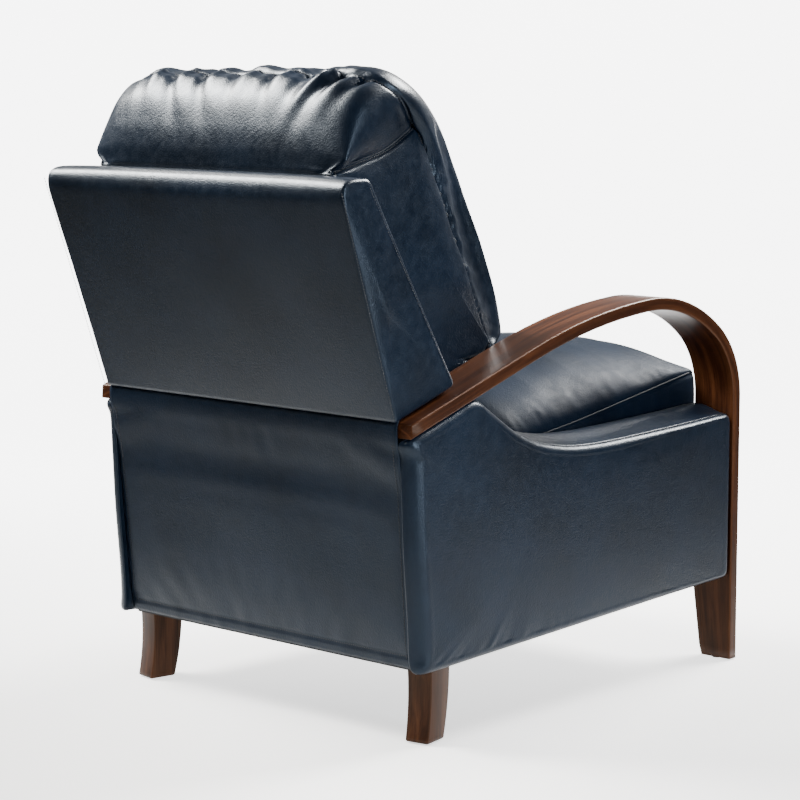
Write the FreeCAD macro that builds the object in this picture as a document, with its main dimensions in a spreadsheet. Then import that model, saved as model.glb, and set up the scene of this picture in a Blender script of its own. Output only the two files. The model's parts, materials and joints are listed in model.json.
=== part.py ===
import math
import os

import FreeCAD
import Part
from FreeCAD import Placement, Rotation, Vector

# Push-back recliner armchair. Millimetres. +Z up, the chair faces -Y and its centre plane is X = 0.
# The origin is on the floor, under the middle of the chair's bounding box.

DIMENSIONS = {
    # bentwood arms: one laminated strip each, which comes down to the floor as the front leg
    "arm_outer": 335, "arm_width": 80, "strip": 20, "arm_front": 467, "foot_gap": 2,
    "toe_inset": 19, "toe_height": 140,
    # upholstered sides
    "side_inner": 257, "side_thick": 78, "side_edge": 22, "frame_thick": 18,
    # under-frame
    "rail_half": 256, "rail_thick": 22, "rail_tall": 46, "rail_floor": 118,
    "rear_rail_front": 264, "front_rail_front": -312, "front_rail_tall": 20,
    # rear flap and bottom cloth
    "flap_half": 305.5, "flap_thick": 2.5, "cloth_thick": 1.5,
    # back
    "back_half": 314, "hide": 3, "back_board": 18, "pillow_half": 251,
    # seat
    "seat_half": 247, "seat_board_out": 240, "seat_board": 24, "seat_board_tall": 44,
    # plates and pins
    "plate": 4, "pin": 10, "slot": 10.6, "bolt": 8, "fit": 0.16,
    "slider_in": 246, "back_plate_in": 240,
    # motion
    "pivot_along": 311, "pivot_up": 380, "slide_travel": 60, "slide_rise_deg": 12,
    # footrest
    "rest_half": 245, "rest_low": 165, "rest_high": 383, "rest_board": 15, "rest_pad": 24,
    "rest_back": -424, "lift_in": 212, "reach_in": 206, "bracket_in": 200, "link_wide": 22,
}

document = FreeCAD.newDocument("recliner")
sheet = document.addObject("Spreadsheet::Sheet", "dims")
for row, (alias, value) in enumerate(DIMENSIONS.items(), start=1):
    sheet.set(f"A{row}", alias)
    sheet.set(f"B{row}", str(value))
    sheet.setAlias(f"B{row}", alias)
document.recompute()

SIDES = {"right": -1, "left": 1}
nodes = []


def size(alias):
    return float(sheet.get(alias))


# ---------------------------------------------------------------- helpers

def keep(thing, label):
    """Names an object as one of the chair's pieces."""
    thing.Label = label
    nodes.append(thing)
    return thing


def box(label, corner, spans):
    """A board: its low corner and its spans are expressions on the dimension sheet."""
    board = document.addObject("Part::Box", label)
    for axis, text in zip("xyz", corner):
        board.setExpression(f"Placement.Base.{axis}", text)
    for name, text in zip(("Length", "Width", "Height"), spans):
        board.setExpression(name, text)
    return keep(board, label)


def attach(body, name, role, offset):
    """A sketch on one of the body's own origin planes, moved along its normal."""
    sketch = body.newObject("Sketcher::SketchObject", name)
    plane = next(item for item in body.Origin.OriginFeatures if item.Role == role)
    sketch.AttachmentSupport = (plane, "")
    sketch.MapMode = "FlatFace"
    sketch.setExpression("AttachmentOffset.Base.z", offset)
    return sketch


def draw(sketch, outline):
    """Closes an outline of points; a (through, end) pair in place of a point marks an arc."""
    here = outline[0]
    for step in list(outline[1:]) + [outline[0]]:
        if isinstance(step[0], tuple):
            through, end = step
            arc = Part.Arc(flat(here), flat(through), flat(end))
            sketch.addGeometry(arc, False)
        else:
            end = step
            if math.dist(here, end) > 0.001:
                sketch.addGeometry(Part.LineSegment(flat(here), flat(end)), False)
        here = end


def flat(point):
    return Vector(point[0], point[1], 0)


def profile(label, outline, inner, thick, side=1):
    """A piece cut from board or foam: a side view in Y and Z, extruded away from the middle."""
    body = document.addObject("PartDesign::Body", label)
    offset = f"dims.{inner}" if side > 0 else f"-(dims.{inner}) - dims.{thick}"
    sketch = attach(body, f"{label}_outline", "YZ_Plane", offset)
    draw(sketch, outline)
    pad = body.newObject("PartDesign::Pad", f"{label}_pad")
    pad.Profile = sketch
    pad.setExpression("Length", f"dims.{thick}")
    return keep(body, label)


def profile_across(label, outline, half):
    """The same, but centred on the middle plane and 2 x half wide."""
    body = document.addObject("PartDesign::Body", label)
    sketch = attach(body, f"{label}_outline", "YZ_Plane", f"-(dims.{half})")
    draw(sketch, outline)
    pad = body.newObject("PartDesign::Pad", f"{label}_pad")
    pad.Profile = sketch
    pad.setExpression("Length", f"2 * (dims.{half})")
    return keep(body, label)


def cut(body, name, outline, start, depth, toward=1):
    """Pockets a side-view outline from x = start for a depth, toward +X or -X."""
    document.recompute()
    before = body.Shape.Volume
    sketch = attach(body, f"{name}_outline", "YZ_Plane", start)
    draw(sketch, outline)
    pocket = body.newObject("PartDesign::Pocket", name)
    pocket.Profile = sketch
    pocket.Reversed = toward > 0
    pocket.setExpression("Length", depth)
    document.recompute()
    if body.Shape.Volume > before - 1:
        raise RuntimeError(f"{name} cuts nothing")


def group(label, solids):
    """Identical small pieces that share one node, each a separate solid."""
    piece = document.addObject("Part::Feature", label)
    piece.Shape = Part.makeCompound(solids)
    return keep(piece, label)


def pin(x_start, x_end, along, up, diameter):
    """A round bar along X."""
    low = min(x_start, x_end)
    return Part.makeCylinder(diameter / 2, abs(x_end - x_start), Vector(low, along, up), Vector(1, 0, 0))


def bolt(x_start, x_end, along, up, diameter):
    """A pin with a flat head at its x_end."""
    out = 1 if x_end > x_start else -1
    head = pin(x_end, x_end + out * diameter * 0.35, along, up, diameter * 1.9)
    return pin(x_start, x_end, along, up, diameter).fuse(head).removeSplitter()


def slot_outline(along, up, reach, rise_deg, wide):
    """A round-ended slot from (along, up), sloping up toward the front."""
    half = wide / 2
    turn = math.radians(rise_deg)
    ahead = (-math.cos(turn), math.sin(turn))
    over = (math.sin(turn), math.cos(turn))
    far = (along + reach * ahead[0], up + reach * ahead[1])

    def at(centre, forward, upward):
        return tuple(centre[i] + forward * ahead[i] + upward * over[i] for i in (0, 1))

    return [at((along, up), 0, half), at(far, 0, half), (at(far, half, 0), at(far, 0, -half)),
            at((along, up), 0, -half), (at((along, up), -half, 0), at((along, up), 0, half))]


def link_outline(start, end, wide):
    """A flat bar with round ends from one pin to the next."""
    reach = math.dist(start, end)
    rise = math.degrees(math.atan2(end[1] - start[1], start[0] - end[0]))
    return slot_outline(start[0], start[1], reach, rise, wide)


def drill(body, name, spots, start, depth, diameter, toward=1):
    """Round holes along X."""
    radius = diameter / 2
    for index, (along, up) in enumerate(spots):
        ring = [(along - radius, up), ((along, up + radius), (along + radius, up)),
                ((along, up - radius), (along - radius, up))]
        cut(body, f"{name}_{index + 1}", ring, start, depth, toward)


# ---------------------------------------------------------------- bentwood arms

ARM_START = (343.75, 485.0)
ARM_SLOPE = 17.7
# the rear end is cut nearly upright, so its lower edge lies a little behind its upper edge
ARM_REAR_LOW = 346.3
ARM_BENDS = (("line", 286.0, 0), ("arc", 1173.0, 14.2), ("arc", 289.0, 41.0), ("arc", 153.0, 52.5))


def heading(angle):
    """Forward-and-up direction at an angle above level, and the normal toward the sitter's side."""
    turn = math.radians(angle)
    return (-math.cos(turn), math.sin(turn)), (-math.sin(turn), -math.cos(turn))


def arm_path(depth):
    """The strip's line, depth below its outer face: start point, then points and arcs."""
    angle = ARM_SLOPE
    along, normal = heading(angle)
    here = (ARM_START[0] + depth * normal[0], ARM_START[1] + depth * normal[1])
    path = [here]
    for kind, reach, bend in ARM_BENDS:
        if kind == "line":
            here = (here[0] + reach * along[0], here[1] + reach * along[1])
            path.append(here)
            continue
        radius = reach - depth
        centre = (here[0] + radius * normal[0], here[1] + radius * normal[1])
        spots = []
        for part_bend in (bend / 2, bend):
            along, normal = heading(angle - part_bend)
            spots.append((centre[0] - radius * normal[0], centre[1] - radius * normal[1]))
        path.append((spots[0], spots[1]))
        here = spots[1]
        angle -= bend
    return path


def strip_under(along):
    """Height of the strip's underside over its straight rear run."""
    start = arm_path(size("strip"))[0]
    return start[1] + (start[0] - along) * math.tan(math.radians(ARM_SLOPE))


def end_of(step):
    """Where a step of a path ends: a step is a point, or a (through, end) pair for an arc."""
    return step[1] if isinstance(step[0], tuple) else step


def arm_outline():
    """The strip's side view: its outer line, the cut at the floor and the inner line back."""
    inner = arm_path(size("strip"))
    front = -size("arm_front")
    floor = size("foot_gap")
    points = [end_of(step) for step in inner]
    back_up = [points[-1]]
    for index in range(len(inner) - 1, 1, -1):
        arc = isinstance(inner[index][0], tuple)
        back_up.append((inner[index][0], points[index - 1]) if arc else points[index - 1])
    rear_low = (ARM_REAR_LOW, strip_under(ARM_REAR_LOW))
    return arm_path(0) + [(front, floor), (front + size("strip"), floor)] + back_up + [rear_low]


def make_arm(name, side):
    arm = profile(f"bentwood_arm_{name}", arm_outline(), "arm_outer - dims.arm_width", "arm_width", side)
    document.recompute()
    before = arm.Shape.Volume
    sketch = attach(arm, f"toe_{name}_outline", "XZ_Plane", "dims.arm_front + 5")
    inner = side * (size("arm_outer") - size("arm_width") - 1)
    toe = side * (size("arm_outer") - size("arm_width") + size("toe_inset"))
    draw(sketch, [(inner, -5), (toe, -5), (toe, size("foot_gap")), (inner, size("toe_height"))])
    taper = arm.newObject("PartDesign::Pocket", f"toe_{name}")
    taper.Profile = sketch
    taper.Length = size("strip") + 10
    document.recompute()
    if arm.Shape.Volume > before - 1:
        raise RuntimeError("the leg taper cuts nothing")


# ---------------------------------------------------------------- sides

SIDE_FRONT = -445.5
# the padding stops this far under the arm's strip
STRIP_GAP = 0.6


def side_outline():
    """The padded side: its top drops in an S curve from the arm's rear end to a low level run."""
    return [(SIDE_FRONT, 155), ((-443.5, 147.5), (-437, side_floor(-437))), (324, side_floor(324)),
            (326.6, 181), (335.3, 285), (339.6, 374), (343.6, 440), (352, 456.5),
            (346, strip_under(346) - STRIP_GAP), (203, strip_under(203) - STRIP_GAP), (190, 503),
            (107, 450), ((26, 420.5), (-60, 410.5)), (SIDE_FRONT, 420.5)]


def side_floor(along):
    """Height of the side's bottom edge, which rises slightly toward the front."""
    return 143.5 - (along + 437) * 32 / 761


def board_outline(past=0.0):
    """The side frame, bare at its front end and bottom edge, where it is bolted."""
    front = SIDE_FRONT - past
    return [(front, side_floor(front) - past), (288, side_floor(288) - past), (288, 430), (215, 462),
            (110, 420), (-60, 386), (front, 386)]


def flap_line(ahead=0.0):
    """Side view of the hanging rear leather, bottom to top."""
    return [(307 - ahead, 117), (315 - ahead, 191), (324 - ahead, 296), (334 - ahead, 390),
            (347.5 - ahead, 458), (349 - ahead, 484)]


def make_side(name, side):
    panel = profile(f"side_panel_{name}", side_outline(), "side_inner", "side_thick", side)
    start = f"{side} * dims.side_inner"
    cut(panel, f"board_seat_{name}", board_outline(2.0), start, "dims.frame_thick", side)
    # clear of the leather that hangs across the rear
    line = flap_line(ahead=10)
    notch = [(line[0][0], 100)] + line + [(370, line[-1][1]), (370, 100)]
    cut(panel, f"flap_notch_{name}", notch, start, "dims.side_thick - dims.side_edge", side)
    profile(f"side_frame_{name}", board_outline(), "side_inner", "frame_thick", side)


# ---------------------------------------------------------------- rear legs

LEG_TURN = 10.0
# height, then the centre out from the middle and along, then the width and depth there
LEG_SECTIONS = ((2.0, 294.3, 272.5, 40.0, 46.0), (45.0, 293.0, 264.6, 40.5, 49.0),
                (109.0, 292.6, 262.1, 42.0, 54.0))


def make_rear_leg(name, side):
    body = document.addObject("PartDesign::Body", f"rear_leg_{name}")
    sketches = []
    for index, (up, out, along, wide, deep) in enumerate(LEG_SECTIONS):
        sketch = attach(body, f"leg_{name}_{index}", "XY_Plane", f"{up}")
        turn = math.radians(LEG_TURN * side)
        corners = []
        for across, lengthwise in ((-1, -1), (1, -1), (1, 1), (-1, 1)):
            x, y = across * wide / 2, lengthwise * deep / 2
            corners.append((side * out + x * math.cos(turn) + y * math.sin(turn),
                            along - x * math.sin(turn) + y * math.cos(turn)))
        draw(sketch, corners)
        sketches.append(sketch)
    loft = body.newObject("PartDesign::AdditiveLoft", f"leg_{name}_loft")
    loft.Profile = sketches[0]
    loft.Sections = sketches[1:]
    keep(body, f"rear_leg_{name}")


# ---------------------------------------------------------------- under-frame, flap and cloth

# triangular glue blocks in the frame's corners
BLOCK_FLOOR, BLOCK_LEG, BLOCK_TALL = 120, 45, 18


def make_under_frame():
    span = "2 * dims.rail_half"
    for name in ("rear_rail", "front_rail"):
        tall = "dims.rail_tall" if name == "rear_rail" else "dims.front_rail_tall"
        box(name, ("-dims.rail_half", f"dims.{name}_front", "dims.rail_floor"),
            (span, "dims.rail_thick", tall))
    box("centre_stretcher", ("-30", "dims.front_rail_front + dims.rail_thick", "dims.rail_floor"),
        ("60", "dims.rear_rail_front - dims.front_rail_front - dims.rail_thick", "20"))
    box("bottom_cloth",
        ("-dims.rail_half + 2", "dims.front_rail_front", "dims.rail_floor - dims.cloth_thick"),
        ("2 * dims.rail_half - 4", "dims.rear_rail_front - dims.front_rail_front + dims.rail_thick",
         "dims.cloth_thick"))
    box("flap_strip", ("-300", "299.5", "113"), ("600", "6", "18"))
    line = flap_line()
    thick = size("flap_thick")
    profile_across("rear_flap", line + [(y + thick, z) for y, z in reversed(line)], "flap_half")
    blocks = []
    front_face = size("front_rail_front") + size("rail_thick")
    for side in (-1, 1):
        for along, ahead in ((size("rear_rail_front"), -1), (front_face, 1)):
            inner = side * size("rail_half")
            corner = [Vector(inner, along, BLOCK_FLOOR), Vector(inner - side * BLOCK_LEG, along, BLOCK_FLOOR),
                      Vector(inner, along + ahead * BLOCK_LEG, BLOCK_FLOOR)]
            face = Part.Face(Part.makePolygon(corner + [corner[0]]))
            blocks.append(face.extrude(Vector(0, 0, BLOCK_TALL)))
    group("corner_blocks", blocks)


# radius, then out from the middle and along, of the glide under each front and rear leg
GLIDES = ((8, 303, -457), (9, 294, 272.5))
ARM_BOLT_OUT, ARM_BOLT_START, ARM_BOLT_REACH, ARM_BOLT_RADIUS = 266, -460, 48, 3.5
ARM_BOLT_HEIGHTS = (200, 360)
LEG_PLATE_SPANS = (34, 44, 2.2)
LEG_PLATE_OUT, LEG_PLATE_ALONG, LEG_PLATE_UP = 292, 240, 109


def make_feet_and_fixings():
    group("floor_glides", [Part.makeCylinder(radius, size("foot_gap"), Vector(side * out, along, 0))
                           for side in (-1, 1) for radius, out, along in GLIDES])
    group("arm_bolts", [Part.makeCylinder(ARM_BOLT_RADIUS, ARM_BOLT_REACH,
                                          Vector(side * ARM_BOLT_OUT, ARM_BOLT_START, up), Vector(0, 1, 0))
                        for side in (-1, 1) for up in ARM_BOLT_HEIGHTS])
    wide = LEG_PLATE_SPANS[0]
    group("leg_plates", [Part.makeBox(*LEG_PLATE_SPANS, Vector(side * LEG_PLATE_OUT - wide / 2,
                                                               LEG_PLATE_ALONG, LEG_PLATE_UP))
                         for side in (-1, 1)])


# ---------------------------------------------------------------- back

# from the lower rear corner up, over the rolled top and down the edge against the pillow
BACK_OUTLINE = [(345.5, 489.5), (466.9, 816.8), (463, 828), (450, 834.5), (415, 834), (229, 528)]


def inset_outline(outline, amount):
    """Moves every edge of a convex outline inward."""
    count = len(outline)
    middle = (sum(p[0] for p in outline) / count, sum(p[1] for p in outline) / count)
    lines = []
    for index in range(count):
        (y1, z1), (y2, z2) = outline[index], outline[(index + 1) % count]
        length = math.dist((y1, z1), (y2, z2))
        normal = ((z2 - z1) / length, (y1 - y2) / length)
        if (middle[0] - y1) * normal[0] + (middle[1] - z1) * normal[1] < 0:
            normal = (-normal[0], -normal[1])
        lines.append(((y1 + amount * normal[0], z1 + amount * normal[1]), (y2 - y1, z2 - z1)))
    corners = []
    for index in range(count):
        (p, d), (q, e) = lines[index - 1], lines[index]
        cross = d[0] * e[1] - d[1] * e[0]
        reach = ((q[0] - p[0]) * e[1] - (q[1] - p[1]) * e[0]) / cross
        corners.append((p[0] + reach * d[0], p[1] + reach * d[1]))
    return corners


HIDE_GAP = 0.3


def back_wedge_board():
    """The wooden side of the back frame, inside the leather."""
    return inset_outline(BACK_OUTLINE, size("hide") + HIDE_GAP)


def between(start, end, part):
    return tuple(start[i] + (end[i] - start[i]) * part for i in (0, 1))


def make_back_cover():
    cover = profile_across("outside_back_cover", BACK_OUTLINE, "back_half")
    hide = size("hide")
    inner = inset_outline(BACK_OUTLINE, hide)
    # the leather is open toward the pillow and at the bottom
    lean = (inner[1][0] - inner[0][0]) / (inner[1][1] - inner[0][1])
    low_rear = (inner[0][0] - 30 * lean, inner[0][1] - 30)
    hollow = [low_rear, inner[1], inner[2], inner[3], (400, 830.9), (205, 510), (215, 470)]
    cut(cover, "back_hollow", hollow, f"-dims.back_half + dims.hide", "2 * (dims.back_half - dims.hide)", 1)


def make_back_frame():
    board = back_wedge_board()
    front_low, front_high = board[5], board[4]
    rear_low, rear_high = board[0], board[1]
    for name, side in SIDES.items():
        profile(f"back_side_{name}", board, "back_half - dims.hide - dims.back_board", "back_board", side)
    inner = "back_half - dims.hide - dims.back_board - 0.5"
    top = [board[2], board[3], between(board[4], board[5], 0.02), between(board[4], board[5], 0.12),
           between(board[1], board[0], 0.08)]
    profile_across("back_top_rail", top, inner)
    low = [between(rear_low, front_low, 0.1), between(rear_low, rear_high, 0.07),
           between(front_low, front_high, 0.16), between(rear_low, front_low, 0.93)]
    profile_across("back_bottom_rail", low, "back_plate_in - 1")


def sinuous(width, pitch, turns, wire):
    """A flat zigzag spring in the XY plane: straight bars joined by half turns."""
    edges = []
    radius = pitch / 2
    half = width / 2
    for index in range(turns):
        along = index * pitch
        side = 1 if index % 2 == 0 else -1
        start, end = Vector(-side * half, along, 0), Vector(side * half, along, 0)
        edges.append(Part.LineSegment(start, end).toShape())
        if index < turns - 1:
            edges.append(Part.Arc(end, Vector(side * (half + radius), along + radius, 0),
                                  Vector(side * half, along + pitch, 0)).toShape())
    spine = Part.Wire(edges)
    ring = Part.Wire(Part.makeCircle(wire / 2, Vector(-half, 0, 0), Vector(1, 0, 0)))
    return spine.makePipeShell([ring], True, True)


def make_back_springs():
    board = back_wedge_board()
    low = between(board[5], board[4], 0.19)
    high = between(board[5], board[4], 0.85)
    reach = math.dist(low, high)
    lean = math.degrees(math.atan2(high[0] - low[0], high[1] - low[1]))
    turns = 11
    springs = []
    for across in (-180, -60, 60, 180):
        spring = sinuous(26, reach / (turns - 1), turns, 3.4)
        turn = Rotation(Vector(1, 0, 0), 90 - lean)
        spring.Placement = Placement(Vector(across, low[0] + 8, low[1]), turn)
        springs.append(spring)
    group("back_springs", springs)


def make_back_soft():
    pillow = [(30, 562), (10, 590), (16, 638), (28, 678), (43, 723), (66, 766), (92, 820), (121, 874),
              (155, 921), (209, 961), (264, 985), (310, 996.5), (345, 993), (385, 965), (412, 915),
              (420, 842), (413, 834.5), (227, 529), (162, 542), (116, 547), (79, 554)]
    profile_across("back_pillow", pillow, "pillow_half")
    pad = [(118, 300), (118, 440), (95, 540), (116, 545), (162, 540), (222, 527), (235, 440), (226, 300)]
    profile_across("lower_back_pad", pad, "back_plate_in - 1.5")


# radius of the eye around the pivot, and where the fixed bracket's spacers stand
PIVOT_EYE = 13
BRACKET_SPOTS = ((235, 326), (285, 326))


def make_back_hinge():
    pivot = (size("pivot_along"), size("pivot_up"))
    ring = PIVOT_EYE
    for name, side in SIDES.items():
        moving = [(pivot[0] + ring, pivot[1]), (pivot[0] + 12, pivot[1] + 30), (322, 502), (318, 560),
                  (262, 560), (262, 512), (pivot[0] - ring, pivot[1] + 30), (pivot[0] - ring, pivot[1]),
                  ((pivot[0], pivot[1] - ring), (pivot[0] + ring, pivot[1]))]
        plate = profile(f"back_bracket_{name}", moving, "back_plate_in", "plate", side)
        start = f"{side} * (dims.back_plate_in - 1)"
        drill(plate, f"pivot_hole_{name}", [pivot], start, "dims.plate + 2", size("pin") + size("fit"), side)
        fixed = [(pivot[0] + 12, 352), (pivot[0] + 12, pivot[1]),
                 ((pivot[0], pivot[1] + 12), (pivot[0] - 12, pivot[1])), (215, 352), (215, 300), (300, 300)]
        profile(f"pivot_bracket_{name}", fixed, "side_inner - dims.plate - 2", "plate", side)
    pins = [pin(side * 234.5, side * 251, pivot[0], pivot[1], size("pin")) for side in (-1, 1)]
    heads = [pin(side * 231.5, side * 234.5, pivot[0], pivot[1], 18) for side in (-1, 1)]
    group("pivot_pins", [shaft.fuse(head).removeSplitter() for shaft, head in zip(pins, heads)])
    wall = size("side_inner")
    group("bracket_spacers", [pin(side * (wall - 2), side * wall, along, up, 14)
                              for side in (-1, 1) for along, up in BRACKET_SPOTS])


# ---------------------------------------------------------------- seat

SEAT_TILT = 9.2
SEAT_FRONT = (-461.0, 392.0)


def seat_floor(along):
    """Height of the cushion's underside."""
    return SEAT_FRONT[1] - (along - SEAT_FRONT[0]) * math.tan(math.radians(SEAT_TILT))


def sloped(along_front, along_rear, drop, tall):
    """A board lying parallel to the cushion, its top face drop below it."""
    return [(along_front, seat_floor(along_front) - drop), (along_rear, seat_floor(along_rear) - drop),
            (along_rear, seat_floor(along_rear) - drop - tall),
            (along_front, seat_floor(along_front) - drop - tall)]


GUIDE_SPOTS = ((-330.0, 322.0), (20.0, 262.0))
SPACER_SPOTS = ((-372.0, 350.0), (-30.0, 292.0))
LIFT_PIVOT = (-230.0, 316.0)
KNEE = (-245.0, 155.0)
REST_PIVOT = (-412.0, 320.0)


def make_seat():
    cushion = [(-461, 392), (-464, 440), (-448, 492), (-400, 508), (-250, 512), (-120, 500), (0, 468),
               (80, 440), (108, 425), (110, seat_floor(110))]
    profile_across("seat_cushion", cushion, "seat_half")
    for name, side in SIDES.items():
        rail = sloped(-405, 100, 1.0, size("seat_board_tall"))
        body = profile(f"seat_side_rail_{name}", rail, "seat_board_out - dims.seat_board", "seat_board", side)
        start = f"{side} * (dims.seat_board_out - dims.seat_board - 1)"
        drill(body, f"lift_seat_{name}", [LIFT_PIVOT], start, "16", size("bolt"), side)
    inner = "seat_board_out - dims.seat_board - 0.5"
    profile_across("seat_front_rail", sloped(-405, -383, 1.0, 40), inner)
    profile_across("seat_rear_rail", sloped(78, 100, 1.0, 40), inner)
    springs = []
    low = (-372.0, seat_floor(-372.0) - 12)
    reach = 440 / math.cos(math.radians(SEAT_TILT))
    turns = 17
    for across in (-160, -80, 0, 80, 160):
        spring = sinuous(24, reach / (turns - 1), turns, 3.6)
        spring.Placement = Placement(Vector(across, low[0], low[1]), Rotation(Vector(1, 0, 0), -SEAT_TILT))
        springs.append(spring)
    group("seat_springs", springs)


def make_slides():
    travel = size("slide_travel")
    rise = size("slide_rise_deg")
    for name, side in SIDES.items():
        slider = [(-390, 372), (-390, 285), (85, 222), (85, 296)]
        plate = profile(f"slide_plate_{name}", slider, "slider_in", "plate", side)
        for index, (along, up) in enumerate(GUIDE_SPOTS):
            # the fixed bolt sits at the slot's front end at rest and at its rear end when reclined
            turn = math.radians(rise)
            rear = (along + travel * math.cos(turn), up - travel * math.sin(turn))
            slot = slot_outline(rear[0], rear[1], travel, rise, size("slot"))
            cut(plate, f"slot_{name}_{index}", slot, f"{side} * (dims.slider_in - 1)", "dims.plate + 2", side)
        guide = [(-360, 345), (-360, 296), (-300, 280), (50, 236), (50, 276), (-10, 292)]
        profile(f"guide_bracket_{name}", guide, "side_inner - dims.plate", "plate", side)
    guides, spacers = [], []
    for side in (-1, 1):
        for along, up in GUIDE_SPOTS:
            guides.append(bolt(side * 253, side * 244.8, along, up, size("pin")))
        for along, up in SPACER_SPOTS:
            spacers.append(pin(side * size("seat_board_out"), side * size("slider_in"), along, up, 16))
    group("guide_bolts", guides)
    group("slide_spacers", spacers)


# ---------------------------------------------------------------- footrest and its links

def make_links():
    wide = size("link_wide")
    plate = size("plate")
    for name, side in SIDES.items():
        lift = profile(f"lift_link_{name}", link_outline(LIFT_PIVOT, KNEE, wide), "lift_in - dims.plate",
                       "plate", side)
        drill(lift, f"lift_hole_{name}", [LIFT_PIVOT], f"{side} * (dims.lift_in - dims.plate - 1)",
              "dims.plate + 2", size("bolt") + size("fit"), side)
        reach = profile(f"reach_link_{name}", link_outline(KNEE, REST_PIVOT, wide),
                        "reach_in - dims.plate", "plate", side)
        drill(reach, f"reach_hole_{name}", [KNEE], f"{side} * (dims.reach_in - dims.plate - 1)",
              "dims.plate + 2", size("bolt") + size("fit"), side)
        bracket = [(-424, 200), (-424, 362), (-418, 362), (-402, REST_PIVOT[1] + 8),
                   (-402, REST_PIVOT[1] - 8), (-418, 286), (-418, 200)]
        foot = profile(f"footrest_bracket_{name}", bracket, "bracket_in - dims.plate", "plate", side)
        drill(foot, f"bracket_hole_{name}", [REST_PIVOT], f"{side} * (dims.bracket_in - dims.plate - 1)",
              "dims.plate + 2", size("bolt") + size("fit"), side)
    lift_face = size("lift_in")
    reach_face = size("reach_in")
    bracket_face = size("bracket_in")
    group("lift_pins", [bolt(side * 226, side * (lift_face - plate - 1), *LIFT_PIVOT, size("bolt"))
                        for side in (-1, 1)])
    group("knee_pins", [bolt(side * (lift_face - plate), side * (reach_face - plate - 0.8), *KNEE,
                             size("bolt")) for side in (-1, 1)])
    group("footrest_pins", [bolt(side * (reach_face - plate), side * (bracket_face - plate - 0.8),
                                 *REST_PIVOT, size("bolt")) for side in (-1, 1)])
    middle = between(LIFT_PIVOT, KNEE, 0.45)
    tube = pin(-lift_face + plate, lift_face - plate, middle[0], middle[1], 16)
    bore = pin(-lift_face + plate, lift_face - plate, middle[0], middle[1], 13)
    group("lift_cross_tube", [tube.cut(bore)])


def make_footrest():
    span = "2 * dims.rest_half"
    tall = "dims.rest_high - dims.rest_low"
    box("footrest_board", ("-dims.rest_half + 8", "dims.rest_back - dims.rest_board", "dims.rest_low + 8"),
        (f"{span} - 16", "dims.rest_board", f"{tall} - 16"))
    body = document.addObject("PartDesign::Body", "footrest_pad")
    back = size("rest_back")
    front = back - size("rest_board") - size("rest_pad")
    low, high = size("rest_low"), size("rest_high")
    sketch = attach(body, "footrest_pad_outline", "YZ_Plane", "-dims.rest_half")
    draw(sketch, [(back, low), (front + 8, low), (front, low + 10), (front, high - 10), (front + 8, high),
                  (back, high)])
    pad = body.newObject("PartDesign::Pad", "footrest_pad_pad")
    pad.Profile = sketch
    pad.setExpression("Length", span)
    keep(body, "footrest_pad")
    inner = [(back + 1, low + 8), (back - size("rest_board"), low + 8),
             (back - size("rest_board"), high - 8), (back + 1, high - 8)]
    cut(body, "board_hollow", inner, "-dims.rest_half + 8", f"{span} - 16", 1)


# ---------------------------------------------------------------- build, check and export

for side_name, side_sign in SIDES.items():
    make_arm(side_name, side_sign)
    make_side(side_name, side_sign)
    make_rear_leg(side_name, side_sign)
make_under_frame()
make_feet_and_fixings()
make_back_cover()
make_back_frame()
make_back_springs()
make_back_soft()
make_back_hinge()
make_seat()
make_slides()
make_links()
make_footrest()
document.recompute()

for item in document.Objects:
    if "Invalid" in item.State or "Error" in item.State:
        raise RuntimeError(f"{item.Name} did not recompute: {item.State}")
for item in nodes:
    if item.Shape.isNull() or not item.Shape.isValid() or item.Shape.Volume <= 0:
        raise RuntimeError(f"{item.Label} has no valid shape")

os.makedirs("parts", exist_ok=True)
for item in nodes:
    item.Shape.exportStep(f"parts/{item.Label}.step")
bounds = Part.makeCompound([item.Shape for item in nodes]).BoundBox
print(len(nodes), "pieces,", bounds)
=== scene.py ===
"""Recliner armchair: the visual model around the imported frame. Metres, +Z up, the chair faces -Y."""

import json
import math

import bmesh
import bpy
import numpy as np
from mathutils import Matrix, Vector


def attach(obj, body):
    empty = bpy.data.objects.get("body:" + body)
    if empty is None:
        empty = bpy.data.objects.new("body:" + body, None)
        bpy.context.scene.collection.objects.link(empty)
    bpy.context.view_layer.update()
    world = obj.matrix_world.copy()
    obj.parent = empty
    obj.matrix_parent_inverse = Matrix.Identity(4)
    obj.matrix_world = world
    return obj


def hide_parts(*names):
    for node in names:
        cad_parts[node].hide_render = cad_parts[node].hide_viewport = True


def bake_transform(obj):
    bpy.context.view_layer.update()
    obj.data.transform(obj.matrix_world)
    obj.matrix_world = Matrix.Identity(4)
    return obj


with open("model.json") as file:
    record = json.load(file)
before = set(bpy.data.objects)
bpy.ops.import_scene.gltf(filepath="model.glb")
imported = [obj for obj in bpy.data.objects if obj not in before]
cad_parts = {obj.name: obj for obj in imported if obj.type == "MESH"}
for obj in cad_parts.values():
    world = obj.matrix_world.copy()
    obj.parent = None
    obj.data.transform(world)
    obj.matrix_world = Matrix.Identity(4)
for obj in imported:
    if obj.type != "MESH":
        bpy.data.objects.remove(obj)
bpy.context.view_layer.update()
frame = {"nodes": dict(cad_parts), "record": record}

MM = 0.001
SIDES = {"right": -1, "left": 1}


# ---------------------------------------------------------------- small tools

def smooth_step(low, high, value):
    part = np.clip((value - low) / (high - low), 0, 1)
    return part * part * (3 - 2 * part)


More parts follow.
